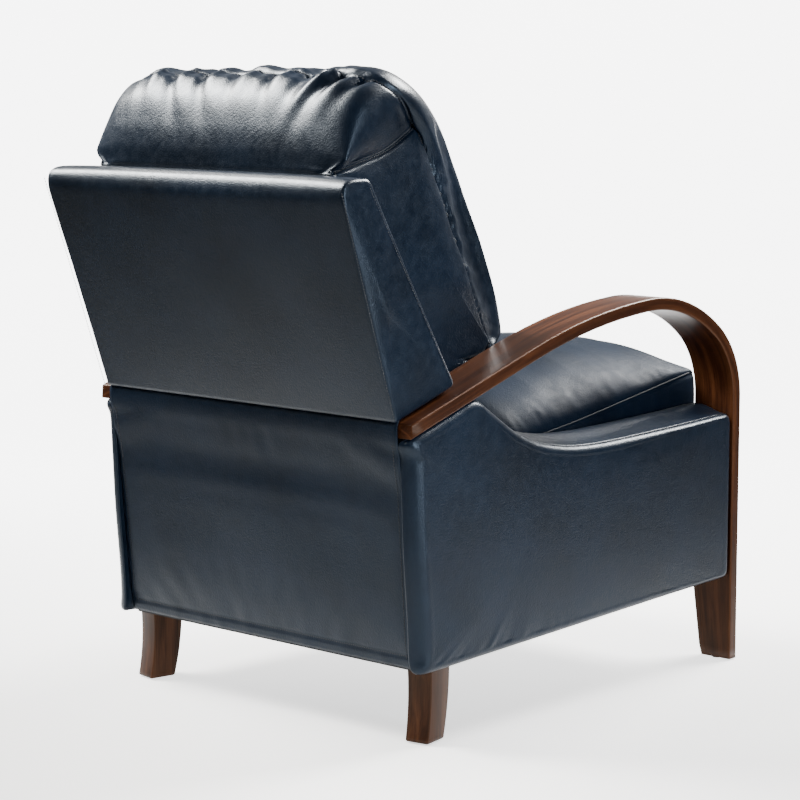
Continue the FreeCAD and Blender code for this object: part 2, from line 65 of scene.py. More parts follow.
def waves(points, scale, seed, count=7):
    """Smooth noise of about -1 to 1: a few sine waves in seeded directions, scale in waves per metre."""
    source = np.random.default_rng(seed)
    total = np.zeros(len(points))
    for _ in range(count):
        direction = source.normal(size=3)
        direction /= np.linalg.norm(direction)
        reach = scale * source.uniform(0.6, 1.5)
        total += np.sin(2 * math.pi * reach * (points @ direction) + source.uniform(0, 2 * math.pi))
    return total / math.sqrt(count * 2)


def smoothed(values, times):
    """Evens out values round a closed line."""
    for _ in range(times):
        values = 0.5 * values + 0.25 * (np.roll(values, 1, axis=0) + np.roll(values, -1, axis=0))
    return values


def lengths_along(line):
    """How far along an open line each of its points lies."""
    return np.concatenate([[0], np.cumsum(np.linalg.norm(np.diff(line, axis=0), axis=1))])


def resample(line, marks, reach):
    """The line's values at the given distances, where reach is each point's own distance."""
    return np.stack([np.interp(marks, reach, column) for column in np.transpose(line)], axis=-1)


def level_on(line, along):
    """The second value of a line of pairs, read at the first."""
    return np.interp(along, *np.transpose(line))


def curve_through(points, count, tight=0.5):
    """A smooth line through a few points, resampled at even spacing."""
    knots = np.array(points, float)
    ends = np.vstack([2 * knots[0] - knots[1], knots, 2 * knots[-1] - knots[-2]])
    fine = []
    for index in range(1, len(ends) - 2):
        a, b, c, d = ends[index - 1:index + 3]
        for part in np.linspace(0, 1, 24, endpoint=False):
            slope_b, slope_c = tight * (c - a), tight * (d - b)
            p2, p3 = part * part, part ** 3
            fine.append((2 * p3 - 3 * p2 + 1) * b + (p3 - 2 * p2 + part) * slope_b
                        + (-2 * p3 + 3 * p2) * c + (p3 - p2) * slope_c)
    fine.append(knots[-1])
    reach = lengths_along(fine)
    return resample(fine, np.linspace(0, reach[-1], count), reach)


def set_all(thing, **values):
    for key, value in values.items():
        setattr(thing, key, value)


def make_object(name, points, faces, material):
    mesh = bpy.data.meshes.new(name)
    mesh.from_pydata([tuple(p) for p in points], [], [tuple(int(i) for i in f) for f in faces])
    mesh.validate()
    mesh.polygons.foreach_set("use_smooth", [True] * len(mesh.polygons))
    mesh.materials.append(material)
    thing = bpy.data.objects.new(name, mesh)
    bpy.context.scene.collection.objects.link(thing)
    return thing


def fix_normals(thing):
    work = bmesh.new()
    work.from_mesh(thing.data)
    bmesh.ops.remove_doubles(work, verts=work.verts, dist=1e-6)
    bmesh.ops.recalc_face_normals(work, faces=work.faces)
    work.to_mesh(thing.data)
    work.free()


def normals_of(thing):
    mesh = thing.data
    found = np.empty(len(mesh.vertices) * 3)
    mesh.vertex_normals.foreach_get("vector", found)
    return found.reshape(-1, 3)


def points_of(thing):
    found = np.empty(len(thing.data.vertices) * 3)
    thing.data.vertices.foreach_get("co", found)
    return found.reshape(-1, 3)


def store(thing, name, values):
    """Keeps one number per vertex, for a material to read."""
    layer = thing.data.attributes.new(name, "FLOAT", "POINT")
    layer.data.foreach_set("value", np.asarray(values, dtype=np.float32))


def axis_marks(half, radius, step, steps_in_round=5):
    """Positions along one edge of a rounded box: close together in the rounded corners."""
    turn = np.linspace(0, math.pi / 2, steps_in_round + 1)
    corner = -half + radius * (1 - np.cos(turn))
    span = 2 * (half - radius)
    inner = np.linspace(-half + radius, half - radius, max(2, int(round(span / step)) + 1))
    return np.unique(np.round(np.concatenate([corner, inner, -corner]), 7))


def rounded_box(halves, radius, step):
    """A closed box with rounded edges: its points and quads, centred at the origin."""
    marks = [axis_marks(half, min(radius, half * 0.98), step) for half in halves]
    counts = [len(m) for m in marks]
    index, points, faces = {}, [], []

    def vertex(i, j, k):
        key = (i, j, k)
        if key not in index:
            index[key] = len(points)
            points.append((marks[0][i], marks[1][j], marks[2][k]))
        return index[key]

    for axis in range(3):
        u, v = [a for a in range(3) if a != axis]
        for end in (0, counts[axis] - 1):
            for a in range(counts[u] - 1):
                for b in range(counts[v] - 1):
                    ring = []
                    for da, db in ((0, 0), (1, 0), (1, 1), (0, 1)):
                        spot = [0, 0, 0]
                        spot[axis], spot[u], spot[v] = end, a + da, b + db
                        ring.append(vertex(*spot))
                    flip = (end == 0) != (axis == 1)
                    faces.append(ring[::-1] if flip else ring)
    points = np.array(points)
    limits = np.array([half - min(radius, half * 0.98) for half in halves])
    core = np.clip(points, -limits, limits)
    out = points - core
    length = np.linalg.norm(out, axis=1, keepdims=True)
    length[length == 0] = 1
    return core + out / length * radius, faces


def even_ring(points, step):
    """A closed side-view line, resampled evenly."""
    closed = np.vstack([points, points[:1]])
    reach = lengths_along(closed)
    marks = np.linspace(0, reach[-1], int(round(reach[-1] / step)), endpoint=False)
    return resample(closed, marks, reach)


def round_ring(corners, step):
    """A closed outline of (y, z, set-back) corners, each rounded from its set-back."""
    count = len(corners)
    line = []
    for index in range(count):
        here = np.array(corners[index][:2], float)
        back = corners[index][2]
        before = np.array(corners[index - 1][:2], float) - here
        after = np.array(corners[(index + 1) % count][:2], float) - here
        start = here + before / np.linalg.norm(before) * back
        end = here + after / np.linalg.norm(after) * back
        for part in np.linspace(0, 1, 9):
            line.append((1 - part) ** 2 * start + 2 * part * (1 - part) * here + part ** 2 * end)
    return even_ring(np.array(line), step)


def ring_outward(ring):
    """Outward directions of a closed side-view line."""
    ahead = np.roll(ring, -1, axis=0) - np.roll(ring, 1, axis=0)
    normal = np.stack([ahead[:, 1], -ahead[:, 0]], axis=1)
    normal /= np.linalg.norm(normal, axis=1, keepdims=True)
    area = (ring[:, 0] * np.roll(ring[:, 1], -1) - np.roll(ring[:, 0], -1) * ring[:, 1]).sum()
    return normal if area > 0 else -normal


def ring_inward(ring, centre):
    """Steps toward a centre that move each edge of a closed line in by one unit."""
    toward = centre - ring
    toward /= np.linalg.norm(toward, axis=1, keepdims=True)
    facing = -(toward * ring_outward(ring)).sum(axis=1)
    return toward / np.maximum(facing, 0.45)[:, None]


def skin(rings, count, start=0, closed_ends=True):
    """Faces over a number of rings of count points each, with a flat face at each end."""
    faces = []
    for row in range(rings - 1):
        base = start + row * count
        for k in range(count):
            a, b = base + k, base + (k + 1) % count
            faces.append((a, b, b + count, a + count))
    if closed_ends:
        faces.append(tuple(start + k for k in reversed(range(count))))
        faces.append(tuple(range(start + (rings - 1) * count, start + rings * count)))
    return faces


def inflate(thing, held, gathered, pressure, spare, frames, cap, bend):
    """Cloth simulation of a filled cover.

    Points are held by their weight, gathered parts are cut larger, and cap limits the movement in mm.
    """
    start = points_of(thing)
    for name, weights in (("held", held), ("gathered", gathered)):
        group = thing.vertex_groups.new(name=name)
        for index in np.nonzero(weights > 0.02)[0]:
            group.add([int(index)], float(weights[index]), "REPLACE")
    cloth = thing.modifiers.new("fill", "CLOTH")
    set_all(cloth.settings, quality=5, mass=0.3, tension_stiffness=15, compression_stiffness=15,
            shear_stiffness=5, bending_stiffness=bend, use_pressure=True, uniform_pressure_force=pressure,
            vertex_group_mass="held", vertex_group_shrink="gathered", shrink_min=-spare[0],
            shrink_max=-spare[1])
    cloth.settings.effector_weights.gravity = 0
    set_all(cloth.point_cache, frame_start=1, frame_end=frames)
    for number in range(1, frames + 1):
        bpy.context.scene.frame_set(number)
    moved = points_of(thing.evaluated_get(bpy.context.evaluated_depsgraph_get()))
    thing.modifiers.remove(cloth)
    thing.vertex_groups.clear()
    bpy.context.scene.frame_set(1)
    move = moved - start
    length = np.maximum(np.linalg.norm(move, axis=1, keepdims=True), 1e-9)
    settled = start + move / length * cap * MM * np.tanh(length / (cap * MM))
    thing.data.vertices.foreach_set("co", np.ascontiguousarray(settled).ravel())
    thing.data.update()


def subdivide(thing):
    set_all(thing.modifiers.new("smooth", "SUBSURF"), levels=1, render_levels=1)


def bumps(along, depth, spots):
    """Folds that start at a seam: each spot is (place, width, height, reach, slant)."""
    total = np.zeros(np.shape(along))
    for place, width, height, reach, slant in spots:
        near = np.exp(-(((along - place - slant * depth) / (width * (1 + 1.2 * depth / reach))) ** 2))
        total += height * near * np.exp(-(depth / reach) ** 1.5)
    return total


def random_folds(seed, low, high, spacing, width, height, reach, slant=0.25):
    """Seeded spots for bumps, between low and high."""
    source = np.random.default_rng(seed)
    place, spots = low, []
    while place < high:
        size = source.uniform(0.5, 1.4)
        spots.append((place, width * source.uniform(0.7, 1.4), height * size * source.choice([1, 1, -0.6]),
                      reach * source.uniform(0.6, 1.5), source.uniform(-slant, slant)))
        place += spacing * source.uniform(0.55, 1.5)
    return spots


# ---------------------------------------------------------------- materials

def node_tree(name):
    material = bpy.data.materials.new(name)
    material.use_nodes = True
    tree = material.node_tree
    shader = tree.nodes["Principled BSDF"]
    return material, tree, shader


def add(tree, kind, **settings):
    node = tree.nodes.new(kind)
    for key, value in settings.items():
        if key in node.inputs:
            node.inputs[key].default_value = value
        else:
            setattr(node, key, value)
    return node


def set_inputs(node, values):
    for key, value in values.items():
        node.inputs[key].default_value = value


def noise(tree, place, scale, detail=2.0, rough=0.5, distortion=0.0):
    node = add(tree, "ShaderNodeTexNoise", Scale=scale, Detail=detail, Roughness=rough,
               Distortion=distortion)
    tree.links.new(place, node.inputs["Vector"])
    return node.outputs["Fac"]


def ramp(tree, source, stops):
    node = tree.nodes.new("ShaderNodeValToRGB")
    elements = node.color_ramp.elements
    while len(elements) < len(stops):
        elements.new(0.5)
    for element, (place, colour) in zip(elements, stops):
        element.position = place
        element.color = (*colour, 1)
    tree.links.new(source, node.inputs["Fac"])
    return node.outputs["Color"]


def map_range(tree, source, low, high, near=0.0, far=1.0, style="LINEAR"):
    """Maps near..far of a source onto low..high."""
    node = add(tree, "ShaderNodeMapRange", interpolation_type=style)
    set_inputs(node, {"From Min": near, "From Max": far, "To Min": low, "To Max": high})
    tree.links.new(source, node.inputs["Value"])
    return node.outputs["Result"]


def combine(tree, operation, *values):
    node = add(tree, "ShaderNodeMath", operation=operation)
    for socket, value in zip(node.inputs, values):
        if isinstance(value, float):
            socket.default_value = value
        else:
            tree.links.new(value, socket)
    return node.outputs[0]


def emboss(tree, shader, height, strength, distance):
    bump = add(tree, "ShaderNodeBump", Strength=strength, Distance=distance)
    tree.links.new(height, bump.inputs["Height"])
    tree.links.new(bump.outputs["Normal"], shader.inputs["Normal"])


def leather_material(name, dark, light, shine=0.33, level=0.17):
    material, tree, shader = node_tree(name)
    place = add(tree, "ShaderNodeTexCoord").outputs["Object"]
    broad = noise(tree, place, 7.0, 3.0, 0.6)
    mottle = noise(tree, place, 60.0, 4.0, 0.7)
    crease = noise(tree, place, 120.0)
    pebble = add(tree, "ShaderNodeTexVoronoi", feature="SMOOTH_F1", Scale=430.0, Randomness=1.0)
    pebble.inputs["Smoothness"].default_value = 0.6
    tree.links.new(place, pebble.inputs["Vector"])
    tone = combine(tree, "MULTIPLY_ADD", mottle, 0.35, broad)
    tree.links.new(ramp(tree, tone, [(0.45, dark), (0.85, light)]), shader.inputs["Base Color"])
    gloss = map_range(tree, mottle, shine - 0.05, shine + 0.08, 0.3, 0.7)
    tree.links.new(gloss, shader.inputs["Roughness"])
    emboss(tree, shader, combine(tree, "MULTIPLY_ADD", pebble.outputs["Distance"], -1.3, crease), 0.5, 0.0003)
    set_inputs(shader, {"Specular IOR Level": level, "Specular Tint": (0.70, 0.85, 1.0, 1)})
    return material


def wood_material(name, dark, middle, light, attribute=True):
    """Stained wood. Grain runs along V of the UV map where there is one, else along Z."""
    material, tree, shader = node_tree(name)
    coordinates = add(tree, "ShaderNodeTexCoord")
    mapping = add(tree, "ShaderNodeMapping")
    mapping.inputs["Scale"].default_value = (34, 1.5, 34) if attribute else (40, 40, 2.4)
    tree.links.new(coordinates.outputs["UV" if attribute else "Object"], mapping.inputs["Vector"])
    place = mapping.outputs["Vector"]
    grain = noise(tree, place, 2.2, 7.0, 0.62, 0.7)
    mixed = combine(tree, "MULTIPLY_ADD", noise(tree, place, 11.0, 4.0, 0.7), 0.35, grain)
    tone = combine(tree, "MULTIPLY_ADD", noise(tree, place, 0.5), 0.3, mixed)
    last = ramp(tree, tone, [(0.52, dark), (0.74, middle), (0.98, light)])
    if attribute:
        ply = add(tree, "ShaderNodeAttribute", attribute_name="ply").outputs["Fac"]
        shade = map_range(tree, combine(tree, "SINE", ply), 0.72, 1.12, -1.0)
        layered = add(tree, "ShaderNodeMix", data_type="RGBA", blend_type="MULTIPLY")
        layered.inputs["Factor"].default_value = 1.0
        tree.links.new(last, layered.inputs["A"])
        tree.links.new(shade, layered.inputs["B"])
        # the eased edges are mixed toward the light colour where the edge attribute is high
        edge = add(tree, "ShaderNodeAttribute", attribute_name="edge")
        paler = add(tree, "ShaderNodeMix", data_type="RGBA")
        tree.links.new(edge.outputs["Fac"], paler.inputs["Factor"])
        tree.links.new(layered.outputs["Result"], paler.inputs["A"])
        paler.inputs["B"].default_value = (*light, 1)
        last = paler.outputs["Result"]
    tree.links.new(last, shader.inputs["Base Color"])
    set_inputs(shader, {"Roughness": 0.34, "Specular IOR Level": 0.10, "Specular Tint": (1.0, 0.85, 0.68, 1)})
    emboss(tree, shader, mixed, 0.12, 0.0004)
    return material


def plain_material(name, colour, rough, metal=0.0, grain=180.0, depth=0.15, mottling=0.25):
    """Painted, plated, moulded or woven stuff: a mottled colour with a fine surface."""
    material, tree, shader = node_tree(name)
    speck = noise(tree, add(tree, "ShaderNodeTexCoord").outputs["Object"], grain, 4.0, 0.6)
    low, high = [tuple(min(1, part * share) for part in colour) for share in (1 - mottling, 1 + mottling)]
    tree.links.new(ramp(tree, speck, [(0.3, low), (0.7, high)]), shader.inputs["Base Color"])
    gloss = map_range(tree, speck, max(0.05, rough - 0.08), min(1, rough + 0.08))
    tree.links.new(gloss, shader.inputs["Roughness"])
    shader.inputs["Metallic"].default_value = metal
    emboss(tree, shader, speck, depth, 0.0003)
    return material


NAVY_DARK, NAVY_LIGHT = (0.0007, 0.0019, 0.0044), (0.0016, 0.0041, 0.0092)
leather = leather_material("navy_leather", NAVY_DARK, NAVY_LIGHT)
seat_leather = leather_material("navy_leather_worn", NAVY_DARK, NAVY_LIGHT, 0.52, 0.04)
walnut = wood_material("walnut_bent", (0.0055, 0.0016, 0.0008), (0.014, 0.0040, 0.0015),
                       (0.042, 0.0140, 0.0050))
# walnut for the legs and leg blocks, grain along Z: its lighter tones are darker than the arms' walnut, a
# painted shade for legs that stand in shade
walnut_leg = wood_material("walnut_leg", (0.0050, 0.0017, 0.0010), (0.013, 0.0046, 0.0022),
                           (0.032, 0.0120, 0.0052), attribute=False)
pine = wood_material("pine", (0.42, 0.27, 0.13), (0.58, 0.41, 0.22), (0.70, 0.54, 0.33), attribute=False)
thread = plain_material("thread", (0.0035, 0.0045, 0.0065), 0.85, grain=900)
black_steel = plain_material("black_steel", (0.022, 0.022, 0.024), 0.42, 0.3, grain=400)
zinc = plain_material("zinc", (0.52, 0.52, 0.50), 0.36, 1.0, grain=240, mottling=0.12)
black_cloth = plain_material("black_cloth", (0.014, 0.014, 0.015), 0.9, grain=1400, depth=0.5)
nylon = plain_material("nylon", (0.03, 0.018, 0.012), 0.5, grain=300)
BY_SLOT = {"leather": leather, "walnut": walnut_leg, "frame_wood": pine, "black_steel": black_steel,
           "zinc_steel": zinc, "black_cloth": black_cloth, "nylon": nylon}

for part in frame["record"]["subparts"]:
    shown = frame["nodes"][part["node"]]
    for slot in shown.material_slots:
        slot.material = BY_SLOT[part["material_slot"]]


def finish_piece(thing, body, nodes=()):
    """Every piece: its body, and the nodes it stands for, which are hidden."""
    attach(thing, body)
    if nodes:
        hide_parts(*nodes)


# ---------------------------------------------------------------- stitches

def stitch_line(name, route, outward, body, pitch=5.0, length=3.4, thick=0.45):
    """Thread along a seam, in metres: outward is one direction, or one for each point of the route."""
    reach = lengths_along(route)
    outward = np.broadcast_to(outward, route.shape)
    marks = np.arange(pitch * MM / 2, reach[-1] - length * MM / 2, pitch * MM)
    points, faces = [], []
    sides = 6
    for mark in marks:
        ends = [resample(route, mark + way * length * MM / 2, reach) for way in (-1, 1)]
        up = resample(outward, mark, reach)
        along = ends[1] - ends[0]
        along /= np.linalg.norm(along)
        up -= along * (up @ along)
        up /= np.linalg.norm(up)
        across = np.cross(along, up)
        base = len(points)
        for part, wide in ((0, 0.35), (0.22, 0.9), (0.5, 1.0), (0.78, 0.9), (1, 0.35)):
            middle = ends[0] + (ends[1] - ends[0]) * part + up * thick * MM * (wide - 0.55)
            for k in range(sides):
                turn = 2 * math.pi * k / sides
                points.append(middle + thick * MM * wide * (math.cos(turn) * across + math.sin(turn) * up))
        faces += skin(5, sides, base)
    thing = make_object(name, points, faces, thread)
    if body:
        finish_piece(thing, body)
    return thing


# ---------------------------------------------------------------- bentwood arms

ARM_OUT, ARM_WIDE, STRIP, PLY = 335.0, 80.0, 20.0, 2.3
ARM_START, ARM_SLOPE = (343.75, 485.0), 17.7
ARM_BENDS = (("line", 286.0, 0.0), ("arc", 1173.0, 14.2), ("arc", 289.0, 41.0), ("arc", 153.0, 52.5))
FOOT, TOE_IN, TOE_UP = 2.0, 19.0, 140.0


def arm_stations():
    """Points on the strip's outer face, with the angle of the strip above level at each."""
    angle = ARM_SLOPE
    here = np.array(ARM_START)
    stations = [(here[0], here[1], angle)]

    def ahead(a):
        return np.array([-math.cos(math.radians(a)), math.sin(math.radians(a))])

    def inward(a):
        return np.array([-math.sin(math.radians(a)), -math.cos(math.radians(a))])

    for kind, reach, bend in ARM_BENDS:
        if kind == "line":
            for part in np.linspace(0, 1, 13)[1:]:
                spot = here + ahead(angle) * reach * part
                stations.append((spot[0], spot[1], angle))
            here = here + ahead(angle) * reach
            continue
        centre = here + inward(angle) * reach
        steps = max(8, int(bend / 2))
        for part in np.linspace(0, 1, steps + 1)[1:]:
            spot = centre - inward(angle - bend * part) * reach
            stations.append((spot[0], spot[1], angle - bend * part))
        here = centre - inward(angle - bend) * reach
        angle -= bend
    for part in np.linspace(0, 1, 26)[1:]:
        stations.append((here[0], here[1] + (FOOT - here[1]) * part, angle))
    return stations


def strip_ring(radius, count=5):
    """The strip's section: (across, depth, how much paler the edge is), with eased corners. Lengths in mm."""
    far, deep = ARM_WIDE - radius, STRIP - radius
    arcs = []
    for corner, (across, depth) in enumerate(((radius, radius), (far, radius), (far, deep), (radius, deep))):
        turns = [math.pi / 2 * (corner + k / count) for k in range(count + 1)]
        arcs.append([(across - radius * math.cos(turn), depth - radius * math.sin(turn),
                      math.sin(math.pi * k / count)) for k, turn in enumerate(turns)])
    ring = []
    for corner, steps in enumerate((14, 5, 14, 5)):
        ring += arcs[corner]
        start, end = np.array(arcs[corner][-1]), np.array(arcs[(corner + 1) % 4][0])
        ring += [tuple(start + (end - start) * k / steps) for k in range(1, steps)]
    return ring


def make_arm(name, side):
    """The bent strip: its section carried along the stations, narrower toward the foot."""
    section = strip_ring(2.6)
    stations = arm_stations()
    travelled = lengths_along([station[:2] for station in stations])
    points, ply, edge_lightening, uv = [], [], [], []
    for index, (y, z, angle) in enumerate(stations):
        turn = math.radians(angle)
        at_end = index <= 1 or index == len(stations) - 1
        for across, depth, paler in section:
            # the rear end is cut nearly upright, not square to the strip
            skew = (depth / STRIP) * 8.6 if index == 0 else 0
            py = y - math.sin(turn) * depth + skew * math.cos(turn)
            pz = z - math.cos(turn) * depth - skew * math.sin(turn)
            taper = TOE_IN * max(0.0, 1 - (pz - FOOT) / (TOE_UP - FOOT)) if index > 40 else 0
            if pz < FOOT + 6 and index > 40:
                taper += 3.0 * (1 - (pz - FOOT) / 6) ** 2
            reach = ARM_OUT - across * (ARM_WIDE - taper) / ARM_WIDE
            points.append((side * reach * MM, py * MM, pz * MM))
            ply.append(depth / PLY * 2 * math.pi)
            # paler along the rounded corners, and at least a little paler all round at both ends
            edge_lightening.append(max(paler, 0.35) if at_end else paler)
            uv.append(((across + depth) * MM, travelled[index] * MM))
    n = len(section)
    faces = skin(len(stations), n, closed_ends=False)
    # each end is closed through rings that ease its edge: the rear end swells, the foot stays flat
    for station, swell in ((0, 1.0), (len(stations) - 1, 0.0)):
        turn = math.radians(stations[station][2])
        ahead = np.array([0, math.cos(turn), -math.sin(turn)]) * swell
        kept = slice(station * n, station * n + n)
        rim = np.array(points[kept])
        spread = rim - rim.mean(axis=0)
        half = np.maximum(np.abs(spread).max(axis=0), 1e-5)
        previous = station * n
        for inset, out, paler in ((0.9, 0.5, 0.9), (2.2, 0.7, 0.5), (7.0, 0.7, 0.1)):
            start = len(points)
            ring = rim.mean(axis=0) + spread * np.clip(1 - inset * MM / half, 0.02, 1) + ahead * out * MM
            points.extend(map(tuple, ring))
            ply.extend(ply[kept])
            edge_lightening.extend([paler] * n)
            uv.extend(uv[kept])
            for k in range(n):
                after = (k + 1) % n
                faces.append((previous + k, previous + after, start + after, start + k))
            previous = start
        faces.append(tuple(range(previous, previous + n)))
    thing = make_object(f"arm_{name}", points, faces, walnut)
    layer = thing.data.uv_layers.new(name="grain")
    for loop in thing.data.loops:
        layer.data[loop.index].uv = uv[loop.vertex_index]
    store(thing, "ply", ply)
    store(thing, "edge", np.array(edge_lightening) * 0.6)
    fix_normals(thing)
    finish_piece(thing, "base", [f"bentwood_arm_{name}"])


# ---------------------------------------------------------------- rear legs

LEG_TURN = 10.0
# height, then how far out, how far back, width and depth
LEG_SECTIONS = ((2.0, 294.3, 272.5, 40.0, 46.0), (45.0, 293.0, 264.6, 40.5, 49.0),
                (118.0, 292.6, 262.0, 42.0, 54.0))


def make_leg(name, side):
    """A rear leg: a turned rectangle with eased corners, whose size and place follow a curve upward."""
    turn = math.radians(LEG_TURN * side)
    ups, *columns = np.transpose(LEG_SECTIONS)
    curves = [np.polyfit(ups, column, 2) for column in columns]
    points = []
    count, radius = 4, 2.5
    levels = [2.0, 2.6, 4.0] + list(np.linspace(8, 118, 23))
    for level in levels:
        out, along, wide, deep = (np.polyval(curve, level) for curve in curves)
        ease = max(0.0, 1.6 - (level - 2.0)) * 0.9
        for corner, (sx, sy) in enumerate(((1, 1), (-1, 1), (-1, -1), (1, -1))):
            for k in range(count + 1):
                angle = math.pi / 2 * (corner + k / count)
                x = sx * (wide / 2 - radius - ease) + radius * math.cos(angle)
                y = sy * (deep / 2 - radius - ease) + radius * math.sin(angle)
                points.append(((side * out + x * math.cos(turn) + y * math.sin(turn)) * MM,
                               (along - x * math.sin(turn) + y * math.cos(turn)) * MM, level * MM))
    thing = make_object(f"leg_{name}", points, skin(len(levels), 4 * (count + 1)), walnut_leg)
    fix_normals(thing)
    thing.modifiers.new("ease", "EDGE_SPLIT").split_angle = math.radians(50)
    finish_piece(thing, "base", [f"rear_leg_{name}"])


# ---------------------------------------------------------------- upholstered sides

SIDE_OUT = 335.0
FLAP_LINE = ((309.5, 117), (317.5, 191), (326.5, 296), (336.5, 390), (345, 436), (349.6, 458), (350.8, 474),
             (349.8, 483), (346, 491))
SIDE_REAR = ((324, 112), (326.6, 181), (335.3, 285), (339.6, 374), (343.6, 440), (352, 454))
SIDE_TOP = ((-445.5, 419.5), (-411, 419), (-340, 415.5), (-257, 412.5), (-176, 410), (-98, 409),
            (-22, 413), (52, 427), (107, 450), (142, 472), (177, 495), (203, 507.5), (250, 493.2), (346, 462))
SIDE_FOOT = 143.9
SIDE_CENTRE = np.array([60.0, 280.0])
SIDE_STEP = 4.5
SIDE_SHARES = (0.04, 0.15, 0.3, 0.45, 0.6, 0.72, 0.82, 0.89, 0.94, 0.97, 0.985)
SEAM_TURN = 1.25                # how far round the top roll the seam lies, in radians
SIDE_TURNS = (0, 0.2, 0.4, 0.6, 0.79, 0.95, 1.08, 1.17, SEAM_TURN, 1.33, 1.42, 1.5, math.pi / 2)
SIDE_LAST = {75.5: 0.6, 77.2: 2.0, 78.0: 4.5}       # the innermost depths, and how far each ring shrinks


def side_ring():
    """The outline of an upholstered side in side view, with its corners a little rounded."""
    top = curve_through(SIDE_TOP, 200)[::-1]
    rear = curve_through(SIDE_REAR, 80)
    front = (SIDE_TOP[0][0], SIDE_FOOT)
    return smoothed(even_ring(np.vstack([rear, top, [front]]), SIDE_STEP), 5)


def make_side(name, side):
    """A padded side: its outline swept inward, with edges that roll over."""
    ring = side_ring()
    outward = ring_outward(ring)
    y = ring[:, 0]
    is_rear = smooth_step(0.5, 0.9, outward[:, 0])
    is_top = smooth_step(0.3, 0.7, outward[:, 1])
    is_low = smooth_step(0.6, 0.9, -outward[:, 1])
    is_front = smooth_step(0.6, 0.9, -outward[:, 0])
    roll = smoothed(9.0 + 17.0 * is_rear + 5.0 * is_top + 2.0 * is_low + 4.0 * is_front, 12)
    inward = smoothed(ring_inward(ring, SIDE_CENTRE), 6)
    edge_ring = ring + inward * roll[:, None]
    rows = []
    # outer face, from its middle out to the edge, with gathers above the lower edge
    walked = np.arange(len(ring)) * SIDE_STEP
    gathers = random_folds(31 + side, 0, walked[-1], 30, 5.5, 0.8, 24)
    for share in SIDE_SHARES:
        spot = SIDE_CENTRE + (edge_ring - SIDE_CENTRE) * share
        away = np.linalg.norm(edge_ring - spot, axis=1)
        here = np.column_stack([np.full(len(ring), side * SIDE_OUT), spot]) * MM
        out = SIDE_OUT + 2.0 * (1 - share ** 4) - 0.4 + 0.6 * waves(here, 5, 5 + side) * (1 - share ** 8)
        gathered = is_low * (0.35 + smooth_step(20, 120, y))
        rows.append((out + bumps(walked, away, gathers) * gathered, spot))
    for turn in SIDE_TURNS:
        crease = 2.2 * is_top * math.exp(-((turn - SEAM_TURN) / 0.1) ** 2) * 0.7
        inset = roll * (1 - math.sin(turn)) + crease
        rows.append((SIDE_OUT - roll * (1 - math.cos(turn)) - crease, ring + inward * inset[:, None]))
    # across the thickness: the top rises toward the sitter and the rear end turns in
    open_top = smooth_step(200, 60, y) * is_top
    for depth in list(np.arange(17.0, 74.0, 3.5)) + list(SIDE_LAST):
        spot = ring.copy()
        spot[:, 1] += 12.0 * smooth_step(12, 62, depth) * open_top
        spot[:, 0] -= is_rear * (8 - math.sqrt(64 - np.clip(depth - 11, 0, 8) ** 2))
        if depth > 19.5:
            spot[:, 0] = np.minimum(spot[:, 0], np.interp(spot[:, 1], *np.transpose(FLAP_LINE)[::-1]) - 18)
        spot = spot - ring_outward(spot) * SIDE_LAST.get(depth, 0.0)
        rows.append((SIDE_OUT - np.maximum(depth, roll), spot))
    last_out, last_ring = rows[-1]
    rows.append((last_out, SIDE_CENTRE + (last_ring - SIDE_CENTRE) * 0.5))
    points = np.concatenate([np.column_stack([side * out, spot]) for out, spot in rows]) * MM
    thing = make_object(f"side_{name}", points, skin(len(rows), len(ring)), leather)
    fix_normals(thing)
    finish_piece(thing, "base", [f"side_panel_{name}"])
    # the top edge's seam
    chosen = (is_top > 0.6) & (y < 200)
    inset = roll * (1 - math.sin(SEAM_TURN)) + 0.8
    out = SIDE_OUT - roll * (1 - math.cos(SEAM_TURN)) - 0.6
    route = np.column_stack([side * out, ring + inward * inset[:, None]])[chosen] * MM
    normal = np.column_stack([np.full(len(ring), side * 0.3), outward * 0.95])[chosen]
    stitch_line(f"side_stitch_{name}", route, normal, "base", 4.2, 3.4, 0.7)


def make_cord(name, route, radius, material, body, sides=8):
    """A thin sewn edge: a tube along a route of points in metres."""
    points = []
    count = len(route)
    tangents = np.gradient(route, axis=0)
    tangents /= np.linalg.norm(tangents, axis=1, keepdims=True)
    for index in range(count):
        side_way = np.cross(tangents[index], (0.31, 0.17, 0.93))
        side_way /= np.linalg.norm(side_way)
        other = np.cross(tangents[index], side_way)
        for k in range(sides):
            turn = 2 * math.pi * k / sides
            points.append(route[index] + radius * MM * (math.cos(turn) * side_way + math.sin(turn) * other))
    thing = make_object(name, points, skin(count, sides), material)
    fix_normals(thing)
    finish_piece(thing, body)
    return thing


# ---------------------------------------------------------------- outside back

BACK_CORNERS = ((352.6, 485.0, 3), (477.0, 837.2, 40), (412.0, 837.2, 8), (224.5, 528.0, 11))
BACK_STEP = 4.5


def back_half(z):
    return 311.5 + 4.5 * (z - 489) / 345


